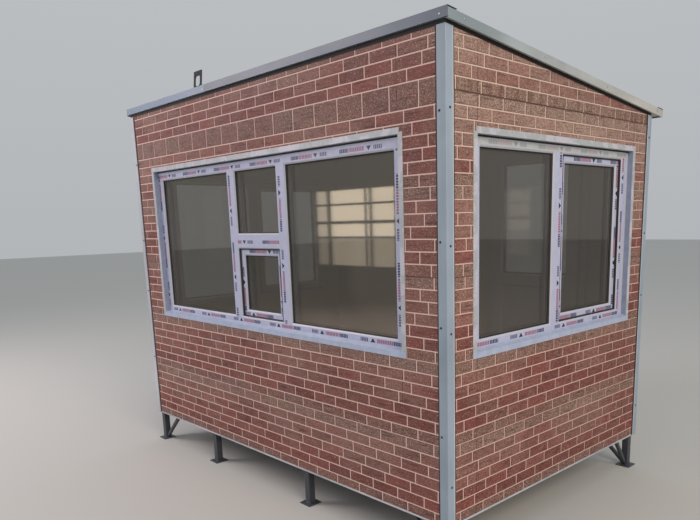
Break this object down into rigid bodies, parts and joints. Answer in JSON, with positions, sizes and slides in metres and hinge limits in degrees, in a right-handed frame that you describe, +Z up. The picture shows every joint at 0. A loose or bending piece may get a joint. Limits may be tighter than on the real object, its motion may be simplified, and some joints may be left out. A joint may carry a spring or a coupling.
{
  "type": "security guard booth",
  "caption": "Small one-room guard booth with brick pattern walls, wide tinted windows and a roof that falls to the back, standing on short braced steel legs.",
  "frame": {"origin": "on the ground, below the middle of the roof's outline", "axes": "+X to the right as seen from the front, +Y from the long windowed front to the back, +Z up"},
  "size_m": [2.962, 1.958, 2.5476],
  "materials": {
    "dark_steel": "dark grey paint on square steel tube, satin",
    "floor_board": "floor board, matt",
    "brick_siding": "embossed brick pattern siding, red-brown bricks and pale pink joints, matt",
    "inner_lining": "white coated lining, satin",
    "trim_sheet": "cool grey coated folded sheet, satin",
    "upvc": "extruded white uPVC, satin",
    "reflective_glass": "dark reflective tinted glass",
    "mill_aluminium": "brushed",
    "roof_edge_board": "dark coated board, matt",
    "roof_sheet": "ribbed coated roof sheet, satin",
    "lug_steel": "black paint on steel plate, satin"
  },
  "bodies": {
    "root": {"foot_plates": "dark_steel", "front_legs": "dark_steel", "back_legs": "dark_steel", "leg_braces": "dark_steel", "front_base_rail": "dark_steel", "back_base_rail": "dark_steel", "left_base_rail": "dark_steel", "right_base_rail": "dark_steel", "floor_joists": "dark_steel", "floor_deck": "floor_board", "front_siding": "brick_siding", "right_siding": "brick_siding", "back_siding": "brick_siding", "left_siding": "brick_siding", "front_wall": "inner_lining", "right_wall": "inner_lining", "back_wall": "inner_lining", "left_wall": "inner_lining", "roof_panel": "inner_lining", "corner_trim_front_right": "trim_sheet", "corner_trim_front_left": "trim_sheet", "corner_trim_back_right": "trim_sheet", "corner_trim_back_left": "trim_sheet", "base_flashings": "trim_sheet", "front_window_casing": "trim_sheet", "right_window_casing": "trim_sheet", "left_window_casing": "trim_sheet", "door_casing": "trim_sheet", "front_fascia": "trim_sheet", "back_fascia": "trim_sheet", "right_verge": "trim_sheet", "left_verge": "trim_sheet", "front_window_frame": "upvc", "front_window_sash": "upvc", "right_window_frame": "upvc", "right_window_sash": "upvc", "left_window_frame": "upvc", "left_window_sash": "upvc", "door_frame": "upvc", "door_leaf": "upvc", "door_panel": "upvc", "front_window_glass": "reflective_glass", "right_window_glass": "reflective_glass", "left_window_glass": "reflective_glass", "door_glass": "reflective_glass", "door_threshold": "mill_aluminium", "door_handle": "mill_aluminium", "roof_board": "roof_edge_board", "roof_sheet": "roof_sheet", "lifting_lugs": "lug_steel"}
  },
  "joints": []
}
